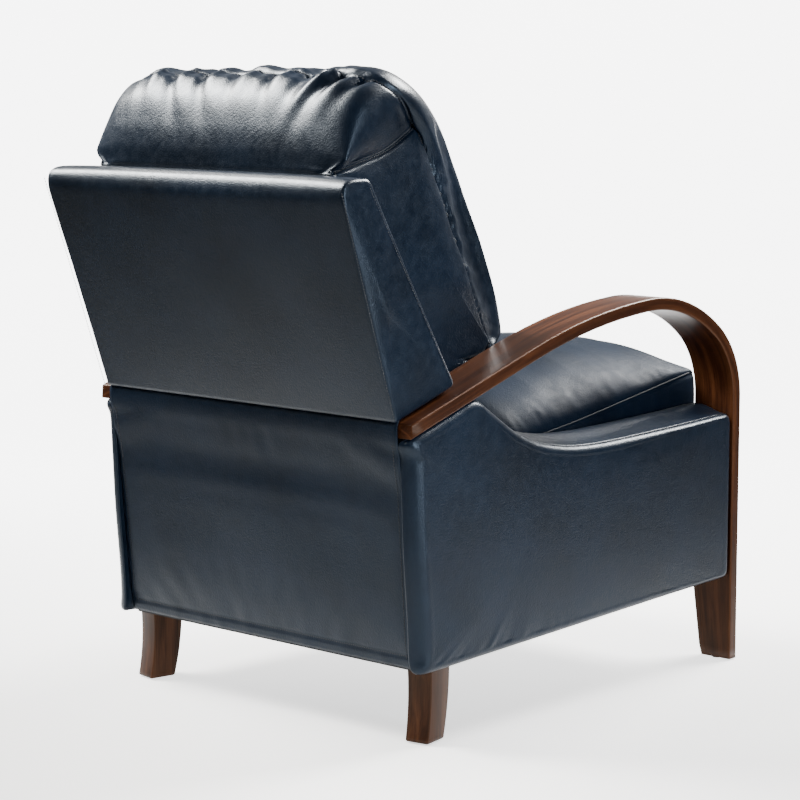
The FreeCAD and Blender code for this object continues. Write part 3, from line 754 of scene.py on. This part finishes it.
def make_outside_back():
    """The upholstered wedge behind the pillow: its side view swept across, between two flat ends."""
    ring = round_ring(BACK_CORNERS, BACK_STEP)
    outward = ring_outward(ring)
    low, high = np.array(BACK_CORNERS[0][:2]), np.array(BACK_CORNERS[1][:2])
    along = (high - low) / np.linalg.norm(high - low)
    from_rear = np.abs((ring - low) @ np.array([-along[1], along[0]]))
    part_up = np.clip((ring - low) @ along / np.linalg.norm(high - low), 0, 1)
    rear = smooth_step(3.0, 0.5, from_rear)
    top = smooth_step(0.5, 0.9, outward[:, 1]) * (ring[:, 0] > 400)
    half = back_half(ring[:, 1])
    centre = np.array([372.0, 640.0])
    radius = 6.0
    ends = []
    inward = ring_inward(ring, centre)
    edge_ring = ring + inward * radius
    for share in (0.05, 0.25, 0.45, 0.62, 0.76, 0.86, 0.93, 0.97):
        spot = centre + (edge_ring - centre) * share
        here = np.column_stack([np.full(len(ring), 0.3), spot * MM])
        ends.append((half + 1.0 + 1.6 * (1 - share ** 4) + 0.5 * waves(here, 8, 13) * (1 - share ** 6), spot))
    for turn in np.linspace(0, math.pi / 2, 6)[:-1]:
        inset = radius * (1 - math.sin(turn))
        ends.append((half + 1.0 - radius * (1 - math.cos(turn)), ring + inward * inset))
    rows = [(-out, spot) for out, spot in ends]
    for part in np.linspace(-1, 1, 112):
        across = part * (half + 1.0 - radius)
        here = np.column_stack([across * MM, ring * MM])
        crown = (1 - abs(part) ** 6) * (1 - np.abs(2 * part_up - 1) ** 4)
        fill = rear * (2.6 * crown + 0.5 * waves(here, 4.5, 11) * crown)
        # the top is stuffed: it swells between its ends
        fill = fill + top * 2.2 * (1 - abs(part) ** 4)
        rows.append((across, ring + outward * fill[:, None]))
    rows += [(out, spot) for out, spot in reversed(ends)]
    points = np.concatenate([np.column_stack([out, spot]) for out, spot in rows]) * MM
    thing = make_object("outside_back", points, skin(len(rows), len(ring)), leather)
    fix_normals(thing)
    finish_piece(thing, "back", ["outside_back_cover"])
    front_low, front_high = np.array(BACK_CORNERS[3][:2]), np.array(BACK_CORNERS[2][:2])
    for name, side in SIDES.items():
        lines = {"rear": (low + (5.5, 4.0), high + (-6.5, -17.0)),
                 "front": (front_low + (13.5, 10.5), front_high + (1.5, -13.0))}
        for label, (start, end) in lines.items():
            marks = np.linspace(0, 1, 130)[:, None]
            line = start + (end - start) * marks
            route = np.column_stack([side * (back_half(line[:, 1]) + 1.25), line]) * MM
            stitch_line(f"back_stitch_{label}_{name}", route, (side, 0, 0), "back", 4.6, 3.3, 0.6)


# ---------------------------------------------------------------- back pillow

PILLOW_HALF = 246.0
SIDE_LOW = ((229, 530), (162, 546), (116, 551), (84, 555), (69, 572))
MIDDLE_LOW = ((229, 530), (162, 541), (90, 546), (36, 558), (12, 590))
SIDE_SEAM = ((69, 572), (87, 600), (110, 652), (132, 702), (154, 741), (179, 797), (200, 835), (218, 871),
             (241, 904))
MIDDLE_FRONT = ((12, 590), (18, 638), (30, 678), (45, 723), (68, 766), (94, 820), (123, 872), (160, 922),
                (210, 961), (262, 983), (306, 990), (338, 983))
SIDE_DIAGONAL = ((241, 904), (301, 872), (363, 855), (417, 841))
MIDDLE_REAR = ((338, 983), (368, 973), (393, 948), (409, 910), (417, 875), (418, 841))
FRAME_LINE = ((417, 841), (410, 828), (320, 680), (229, 530))
RING_COUNTS = (26, 76, 34, 46)
# the ring points where the underside, the front and the rear end
LOW_END, TOP_SEAM, REAR_END = (int(number) for number in np.cumsum(RING_COUNTS)[:3])
BOX_CENTRE = np.array([225.0, 735.0])
BOX_SHARES = (0.18, 0.34, 0.49, 0.62, 0.73, 0.82, 0.89, 0.94, 0.975)
# folds below the top seam at the rear: place, width, height, reach and slant
REAR_FOLDS = ((-236, 6, -6, 60, 0.15), (-205, 8, -7.5, 72, 0.4), (-186, 6, 5, 60, 0.35),
              (-150, 6, -4, 50, 0.2), (-128, 6, -5, 44, -0.1), (-96, 7, 3.5, 40, 0.1),
              (-62, 6, -4.5, 58, -0.3), (-22, 7, 3, 45, 0), (16, 6, -3.4, 50, -0.4),
              (52, 7, 3.4, 42, 0), (86, 7, -5.5, 66, -0.5), (120, 7, 3.0, 46, 0),
              (150, 7, -5.5, 70, -0.5), (180, 7, 4.0, 50, -0.2), (206, 6, -4.0, 52, -0.4),
              (232, 9, -4.5, 55, -0.2))


def pillow_ring(lines):
    return np.vstack([curve_through(line, count + 1)[:-1] for line, count in zip(lines, RING_COUNTS)])


def pillow_grid():
    """Rows of side views in mm: from the boxed side, over its seam, to the full middle and back out."""
    side_ring = pillow_ring((SIDE_LOW, SIDE_SEAM, SIDE_DIAGONAL, FRAME_LINE))
    middle_ring = pillow_ring((MIDDLE_LOW, MIDDLE_FRONT, MIDDLE_REAR, FRAME_LINE))
    index = np.arange(len(side_ring))
    half = []
    for share in BOX_SHARES:
        spot = BOX_CENTRE + (side_ring - BOX_CENTRE) * share
        puff = (1.0 + 9.0 * smooth_step(585, 680, spot[:, 1])) * (1 - share ** 2.2) ** 0.7
        half.append((PILLOW_HALF + puff, spot))
    # how far the cover swells out past the side seam on its way to the full section
    above = smooth_step(TOP_SEAM - 34, TOP_SEAM - 2, index)
    above *= smooth_step(REAR_END + 1, REAR_END - 6, index)
    inner, power = 178.0, 2.0 / 2.3
    for angle in np.linspace(0, math.pi / 2, 15):
        out = inner + (PILLOW_HALF - inner) * max(0.0, math.cos(angle)) ** power
        swell = (2.0 + 31.0 * above) * math.sin(2 * angle) ** 1.2
        half.append((out + swell, side_ring + (middle_ring - side_ring) * math.sin(angle) ** power))
    rows = [(-out, spot) for out, spot in half]
    rows += [(mark, middle_ring) for mark in np.linspace(-inner, inner, 50)[1:-1]]
    rows += reversed(half)
    return np.array([np.column_stack([np.broadcast_to(out, index.shape), spot]) for out, spot in rows])


def pillow_hold(shape):
    """How firmly each point is held in the simulation, and how gathered the cover is there."""
    row, index = np.arange(shape[0])[:, None], np.arange(shape[1])
    first = len(BOX_SHARES)
    last = shape[0] - 1 - first
    held = np.zeros(shape)
    held[:, REAR_END - 12:REAR_END] = smooth_step(-12, -1, np.arange(-12, 0)) * 0.9
    held[:, REAR_END - 1:] = 1.0                        # against the frame
    held[:, :6] = 1.0
    held[first:last + 1, TOP_SEAM] = 1.0
    held[[first, last], LOW_END - 7:] = 1.0             # the side seams
    held = np.where((row < first) | (row > last), np.maximum(held, 0.8), held)
    held = np.maximum(held, 0.55 * smooth_step(TOP_SEAM + 1, TOP_SEAM + 9, index) * (index < REAR_END))
    held[:3] = held[-3:] = 1.0
    held[:, :LOW_END] = np.maximum(held[:, :LOW_END], 0.35)
    to_seam = np.abs(index - TOP_SEAM) * 8.0
    from_side = np.minimum(np.abs(row - first), np.abs(row - last))
    at_top = np.exp(-(to_seam / 60.0) ** 2) * (index < REAR_END - 8)
    at_sides = 0.5 * np.exp(-(from_side / 4.0) ** 2) * ((index > LOW_END) & (index < TOP_SEAM))
    return held, np.maximum(at_top, at_sides) * ((row >= first) & (row <= last))


def pillow_folds(grid, first, low_end, top_seam, rear_end):
    """How far each point moves out, in mm: sewn lines, gathers and draped folds finer than the simulation."""
    last = len(grid) - 1 - first
    row, index = np.arange(len(grid))[:, None], np.arange(grid.shape[1])
    step_ring = np.linalg.norm(np.diff(grid, axis=1, append=grid[:, :1]), axis=2)
    walked = np.cumsum(step_ring, axis=1) - step_ring
    from_top = walked - walked[:, top_seam:top_seam + 1]
    step_across = np.linalg.norm(np.diff(grid, axis=0), axis=2)
    across = np.concatenate([np.zeros((1, len(index))), np.cumsum(step_across, axis=0)])
    to_right = np.abs(across - across[first])
    to_left = np.abs(across - across[last])
    to_side = np.minimum(to_right, to_left)
    x = grid[..., 0]
    cover = (row >= first) & (row <= last)
    front = cover & (index >= low_end * 0.4) & (index <= top_seam)
    rear = cover & (index > top_seam) & (index < rear_end)
    soft_edge = smooth_step(0, 16, to_side)
    front_folds = random_folds(8, -240, 240, 33, 11, 6.5, 46)
    lift = np.where(rear, 1.9 * bumps(x, np.abs(from_top), REAR_FOLDS), 0) * soft_edge
    lift += np.where(front, bumps(x, np.abs(from_top), front_folds), 0) * soft_edge
    for near, seed in ((x < 0, 21), (x >= 0, 22)):
        low, high = walked[first, low_end], walked[first, top_seam]
        side_folds = random_folds(seed, low, high, 12, 3.8, 2.6, 24, 0.3)
        lift += np.where(front & near, bumps(walked, to_side, side_folds), 0)
    # folds that leave the upper rear corners like rays
    around = grid[..., 1:] - np.array(FRAME_LINE[0])
    to_corner = np.hypot(np.linalg.norm(around, axis=2), np.where(x < 0, to_right, to_left))
    angle = np.arctan2(around[..., 1], -around[..., 0])
    rays = np.cos(angle * 11) * 3.0 * np.exp(-to_corner / 40) * smooth_step(4, 24, to_corner)
    lift += np.where(index < rear_end, rays * (np.abs(x) > 150), 0)
    groove = 5.0 * np.exp(-(from_top / 4.5) ** 2) * (front | rear)
    rim = 4.5 * np.exp(-(to_side / 4.0) ** 2) * ((index > low_end * 0.5) & (index < rear_end))
    return lift - groove - rim


def make_pillow():
    """The back pillow: a shaped draft, blown up in the simulation, refined, and then folded."""
    grid = pillow_grid()
    draft = make_object("pillow_draft", grid.reshape(-1, 3) * MM, skin(*grid.shape[:2]), leather)
    held, gathered = pillow_hold(grid.shape[:2])
    inflate(draft, held.ravel(), gathered.ravel(), 2.2, (0.002, 0.03), 20, 20, bend=2.0)
    grid = refine(points_of(draft).reshape(grid.shape) / MM)
    bpy.data.objects.remove(draft)
    first, low_end, top_seam, rear_end = (
        2 * number for number in (len(BOX_SHARES), LOW_END, TOP_SEAM, REAR_END))
    last = len(grid) - 1 - first
    outward = grid_outward(grid)
    grid = grid + outward * pillow_folds(grid, first, low_end, top_seam, rear_end)[..., None]
    thing = make_object("pillow", grid.reshape(-1, 3) * MM, skin(*grid.shape[:2]), leather)
    fix_normals(thing)
    finish_piece(thing, "back", ["back_pillow"])
    chosen = slice(low_end - 2, rear_end - 1)
    for name, row, inner_row in (("right", first, first - 1), ("left", last, last + 1)):
        side = SIDES[name]
        route = (grid[row, chosen] * 0.35 + grid[inner_row, chosen] * 0.65) * MM
        route[:, 0] += side * 0.8 * MM
        stitch_line(f"pillow_stitch_{name}", route, (side, 0, 0), "back", 4.6, 3.3, 0.75)
        seam = (grid[row, chosen] + outward[row, chosen] * 0.3) * MM
        make_cord(f"pillow_seam_{name}", seam, 1.0, thread, "back")
    across = slice(first + 6, last - 5)
    route = (grid[across, top_seam] * 0.45 + grid[across, top_seam + 1] * 0.55) * MM
    normal = outward[across, top_seam]
    stitch_line("pillow_stitch_top", route + normal * 1.2 * MM, normal, "back", 4.6, 3.3, 0.6)


def refine(grid):
    """Doubles a lofted grid's rows and ring points, with curved midpoints."""
    ahead, behind, far = np.roll(grid, -1, axis=1), np.roll(grid, 1, axis=1), np.roll(grid, -2, axis=1)
    wide = np.empty((len(grid), 2 * grid.shape[1], 3))
    wide[:, ::2], wide[:, 1::2] = grid, (9 * (grid + ahead) - behind - far) / 16
    tall = np.empty((2 * len(grid) - 1, wide.shape[1], 3))
    tall[::2], tall[1::2] = wide, (wide[1:] + wide[:-1]) / 2
    tall[3:-3:2] = (9 * (wide[1:-2] + wide[2:-1]) - wide[:-3] - wide[3:]) / 16
    return tall


def grid_outward(grid):
    """Outward normals of a lofted grid: rows along x, a closed ring in each row."""
    along = np.gradient(grid, axis=0)
    around = np.roll(grid, -1, axis=1) - np.roll(grid, 1, axis=1)
    normal = np.cross(around, along)
    normal = normal / np.maximum(np.linalg.norm(normal, axis=2, keepdims=True), 1e-9)
    outside = ((grid - grid.mean(axis=(0, 1))) * normal).sum() >= 0
    return normal if outside else -normal


# ---------------------------------------------------------------- seat cushion

SEAT_HALF, SEAT_FRONT = 247.0, -463.0
SEAT_SEAM = ((-464, 480), (-441, 478), (-303, 455), (-146, 429), (-71, 419), (0, 411), (110, 398))
SEAT_CROWN = ((-464, 20), (-446, 34), (-400, 58), (-300, 78), (-200, 90), (-100, 92), (0, 78), (110, 40))


def seat_under(y):
    """The height of the cushion's underside."""
    return 392 - (y + 461) * math.tan(math.radians(9.2))


def seat_shape():
    """The cushion before it is filled: a rounded box bent to the seat's slope and crowned on top."""
    half_long, half_tall = 287.0, 75.0
    points, faces = rounded_box((SEAT_HALF, half_long, half_tall), 10.0, 5.0)
    across, along, up = points.T
    y = SEAT_FRONT + along + half_long
    under = seat_under(y) + 1
    part_up = (up + half_tall) / (2 * half_tall)
    z = under + (level_on(SEAT_SEAM, y) - under) * part_up
    top = smooth_step(10, 0.5, half_tall - up)
    out = np.clip(np.abs(across) / SEAT_HALF, 0, 1)
    ends = np.clip(np.minimum(y - SEAT_FRONT, 111 - y) / 60, 0, 1)
    body_round = (1 - out ** 2.6) ** 0.62
    z += top * level_on(SEAT_CROWN, y) * body_round * (0.25 + 0.75 * np.sin(ends * math.pi / 2) ** 0.8)
    z += top * 2.0 * waves(np.stack([across, y, z], axis=1) * MM, 4, 61)
    # gathers that leave the side seams
    to_side = SEAT_HALF - np.abs(across)
    for side in SIDES.values():
        folds = random_folds(62 + side, -450, 100, 26, 5.5, 1.6, 34, 0.3)
        folds += [(place, 5.5, 2.2, 36, 0.15) for place in (-70, -52, -36, -20, -4, 14)]
        lift = bumps(y, to_side, folds) * smooth_step(2, 14, to_side)
        z += np.where(np.sign(across) == side, top * lift, 0)
    # the seam's groove
    groove = np.exp(-((half_tall - up - 8) / 3.0) ** 2)
    groove *= smooth_step(30, 4, np.minimum(to_side, y - SEAT_FRONT)) * smooth_step(20, 2, to_side)
    x = across - np.sign(across) * groove * 2.0
    # boxing bulges a little between its seams
    bulge = np.sin(np.clip(part_up, 0, 1) * math.pi)
    x += np.sign(x) * smooth_step(6, 0, to_side) * (bulge * 2.5 - 2.5)
    y -= smooth_step(8, 0, along + half_long) * (bulge * 4 - 1)
    return np.stack([x, y, z], axis=1) * MM, faces


def make_seat():
    thing = make_object("seat", *seat_shape(), seat_leather)
    fix_normals(thing)
    across, y, z = (points_of(thing) / MM).T
    seam = level_on(SEAT_SEAM, y)
    side_gap = SEAT_HALF - np.abs(across)
    on_seam = (np.abs(z - seam) < 6) & (np.minimum(side_gap, y - SEAT_FRONT) < 12)
    held = np.maximum(smooth_step(20, 6, z - seat_under(y)), on_seam | (y > 90))
    gathered = np.exp(-(side_gap / 40) ** 2) * (z > seam)
    inflate(thing, held, gathered, 1.6, (0.001, 0.008), 16, 6, bend=5.0)
    subdivide(thing)
    finish_piece(thing, "seat", ["seat_cushion"])
    marks = np.linspace(-445, 100, 160)
    for name, side in SIDES.items():
        across = np.full(len(marks), side * (SEAT_HALF - 2.6))
        route = np.stack([across, marks, level_on(SEAT_SEAM, marks) + 0.5], axis=1) * MM
        make_cord(f"seat_welt_{name}", route, 1.0, thread, "seat")


# ---------------------------------------------------------------- flap, lower pad, footrest

FLAP_HALF, FLAP_THICK = 305.5, 2.2


def make_flap():
    """The leather that hangs from the back's lower edge to the rear rail, with a raised hem."""
    columns, rows = 118, 84
    line = curve_through(FLAP_LINE, rows)
    across = np.linspace(-1, 1, columns)
    up = np.linspace(0, 1, rows)[:, None]
    x = across * FLAP_HALF * (1 + 0.016 * up)
    grid = np.stack([x, *(np.repeat(part[:, None], columns, axis=1) for part in line.T)], axis=2)
    quads = [(r * columns + c, r * columns + c + 1, (r + 1) * columns + c + 1, (r + 1) * columns + c)
             for r in range(rows - 1) for c in range(columns - 1)]
    # the sheet is fixed at both ends, and cut a little larger than the gap it closes
    draft = make_object("flap_draft", grid.reshape(-1, 3) * MM, quads, leather)
    if normals_of(draft)[:, 1].sum() < 0:
        draft.data.flip_normals()
    held = np.maximum(smooth_step(0.88, 0.93, up), smooth_step(0.05, 0.02, up)) * np.ones_like(x)
    held[:, [0, -1]] = np.maximum(held[:, [0, -1]], 0.12)
    inflate(draft, held.ravel(), np.zeros(x.size), 0.35, (0.0006, 0.0006), 14, 4, bend=8.0)
    spots = points_of(draft)
    bpy.data.objects.remove(draft)
    grid = spots.reshape(grid.shape) / MM
    loose = np.sin(up * math.pi) * (1 - np.abs(across) ** 6)
    grid[..., 1] += loose * (1.0 + 1.2 * waves(spots, 3.2, 71).reshape(x.shape))
    grid[..., 1] += 1.6 * smooth_step(0.052, 0.042, up) - 1.1 * np.exp(-((up - 0.047) / 0.006) ** 2)
    grid[..., 1] += bumps(grid[..., 0], up * 370, random_folds(72, -300, 300, 60, 12, 0.6, 60))
    layers = np.concatenate([grid.reshape(-1, 3), grid.reshape(-1, 3) - (0, FLAP_THICK, 0)])
    count = rows * columns
    faces = quads + [tuple(k + count for k in reversed(quad)) for quad in quads]
    rim = (list(range(columns)) + [r * columns + columns - 1 for r in range(1, rows)]
           + [(rows - 1) * columns + c for c in range(columns - 2, -1, -1)]
           + [r * columns for r in range(rows - 2, 0, -1)])
    faces += [(b, a, a + count, b + count) for a, b in zip(rim, rim[1:] + rim[:1])]
    thing = make_object("rear_leather", layers * MM, faces, leather)
    fix_normals(thing)
    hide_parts("rear_flap")
    pieces = [thing]
    for name, route in (("right", grid[3:-8, 2]), ("left", grid[3:-8, -3]), ("hem", grid[4, 2:-2])):
        pieces.append(stitch_line(f"flap_stitch_{name}", route * MM, (0, 1, 0), None, 4.4, 3.1, 0.55))
    for piece in pieces:
        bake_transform(piece)


def make_pad(name, body, node, low, high, radius, crown):
    """A plain stuffed pad: a rounded box whose front face is crowned."""
    low, high = np.array(low), np.array(high)
    halves = (high - low) / 2
    points, faces = rounded_box(tuple(halves), radius, 6.0)
    middle = (low + high) / 2
    part = points / halves
    dome = (1 - np.abs(part[:, 0]) ** 3) * (1 - np.abs(part[:, 2]) ** 3)
    points = points + middle
    points[:, 1] -= smooth_step(0.4, 1.0, -part[:, 1]) * crown * (dome - 0.3)
    points = points * MM
    thing = make_object(name, points, faces, leather)
    fix_normals(thing)
    finish_piece(thing, body, [node])


for side_name, side_sign in SIDES.items():
    make_arm(side_name, side_sign)
    make_leg(side_name, side_sign)
    make_side(side_name, side_sign)
make_outside_back()
make_pillow()
make_seat()
make_flap()
make_pad("lower_pad", "back", "lower_back_pad", (-246, 118, 302), (246, 224, 566), 15, 8)
make_pad("foot_pad", "footrest", "footrest_pad", (-245, -463, 165), (245, -424, 383), 9, 5)


# ---------------------------------------------------------------- floor, light, camera

VIEW_AHEAD, VIEW_RIGHT = (0.675, -0.738, 0.0), (-0.738, -0.675, 0.0)
STAGE_NEAR, STAGE_FAR, STAGE_BEND, STAGE_TALL, STAGE_HALF = -4.5, 7.6, 1.6, 4.5, 6.0


def along_axis(tree, source, axis):
    facing = add(tree, "ShaderNodeVectorMath", operation="DOT_PRODUCT")
    facing.inputs[1].default_value = axis
    tree.links.new(source, facing.inputs[0])
    return facing.outputs["Value"]


def make_stage():
    """A pale floor that sweeps up into a backdrop: only a wedge straight behind the chair glows white, a
    painted glow from emission.
    """
    profile = [(STAGE_NEAR, 0.0)] + [(reach, 0.0) for reach in np.linspace(-3.0, STAGE_FAR, 12)]
    profile += [(STAGE_FAR + STAGE_BEND * math.sin(turn), STAGE_BEND * (1 - math.cos(turn)))
                for turn in np.linspace(0, math.pi / 2, 14)[1:]]
    profile.append((STAGE_FAR + STAGE_BEND, STAGE_TALL))
    ahead, right = np.array(VIEW_AHEAD), np.array(VIEW_RIGHT)
    points = [ahead * reach - right * side + (0, 0, up - 0.0005)
              for reach, up in profile for side in (-STAGE_HALF, STAGE_HALF)]
    faces = [(2 * row, 2 * row + 1, 2 * row + 3, 2 * row + 2) for row in range(len(profile) - 1)]
    material, tree, shader = node_tree("floor")
    set_inputs(shader, {"Base Color": (0.36, 0.36, 0.36, 1), "Roughness": 0.85, "Specular IOR Level": 0.1,
                        "Emission Color": (1, 1, 1, 1)})
    place = add(tree, "ShaderNodeTexCoord").outputs["Object"]
    ahead = along_axis(tree, place, VIEW_AHEAD)
    height = along_axis(tree, place, (0.0, 0.0, 1.0))
    aside = combine(tree, "ABSOLUTE", along_axis(tree, place, VIEW_RIGHT))
    aside = combine(tree, "DIVIDE", aside, combine(tree, "ADD", ahead, 4.4))
    # painted glow: emission 1.2 near the chair rising to 6.5 toward the backdrop inside the wedge, fading to
    # the sides, toward the camera and above 1.36 m, with 0.04 everywhere
    level = map_range(tree, ahead, 1.2, 6.5, -0.6, 2.2, "SMOOTHSTEP")
    for source, low, high, near, far in ((aside, 1.0, 0.0, 0.168, 0.24), (ahead, 0.0, 1.0, -2.2, -1.0),
                                         (height, 1.0, 0.0, 1.36, 1.8)):
        share = map_range(tree, source, low, high, near, far, "SMOOTHSTEP")
        level = combine(tree, "MULTIPLY", level, share)
    tree.links.new(combine(tree, "ADD", level, 0.04), shader.inputs["Emission Strength"])
    make_object("floor", points, faces, material)
    world = bpy.data.worlds.new("studio")
    bpy.context.scene.world = world
    world.use_nodes = True
    tree = world.node_tree
    background = tree.nodes["Background"]
    background.inputs["Color"].default_value = (1, 1, 1, 1)
    ahead = along_axis(tree, add(tree, "ShaderNodeTexCoord").outputs["Generated"], VIEW_AHEAD)
    strength = map_range(tree, ahead, 0.08, 0.5, 0.3, 0.95, "SMOOTHSTEP")
    tree.links.new(strength, background.inputs["Strength"])


def area_light(name, place, target, size, power, colour, spread=180):
    data = bpy.data.lights.new(name, "AREA")
    set_all(data, shape="RECTANGLE", size=size[0], size_y=size[1], energy=power, color=colour,
            spread=math.radians(spread))
    light = bpy.data.objects.new(name, data)
    bpy.context.scene.collection.objects.link(light)
    light.location = place
    light.rotation_euler = (Vector(target) - Vector(place)).to_track_quat("-Z", "Y").to_euler()


def make_camera():
    data = bpy.data.cameras.new("camera")
    set_all(data, sensor_width=36.0, lens=114.5, clip_end=50)
    camera = bpy.data.objects.new("camera", data)
    bpy.context.scene.collection.objects.link(camera)
    azimuth, elevation, distance = math.radians(222.47), math.radians(7.77), 4.203
    target = Vector((0.068, -0.0697, 0.442))
    away = Vector((math.sin(azimuth) * math.cos(elevation), -math.cos(azimuth) * math.cos(elevation),
                   math.sin(elevation)))
    camera.location = target + away * distance
    camera.rotation_euler = (-away).to_track_quat("-Z", "Y").to_euler()
    bpy.context.scene.camera = camera


make_stage()
area_light("high_left", (1.75, 0.95, 2.7), (0, 0.38, 0.9), (1.8, 1.5), 135, (1.0, 0.97, 0.92), 60)
area_light("right_soft", (-2.2, 0.5, 1.05), (-0.3, 0.28, 0.8), (0.6, 1.5), 20, (0.86, 0.92, 1.0), 80)
area_light("right_strip", (-2.3, -0.25, 0.42), (-0.33, 0.3, 0.28), (0.3, 0.9), 3.5, (0.88, 0.93, 1.0), 70)
area_light("front_high", (-0.6, -2.6, 2.8), (-0.2, 0, 0.45), (2.0, 1.3), 165, (1.0, 0.98, 0.95), 70)
area_light("rear_fill", (-2.2, 3.4, 2.8), (0, 0, 0.5), (1.6, 1.0), 10, (1.0, 0.93, 0.82))
make_camera()
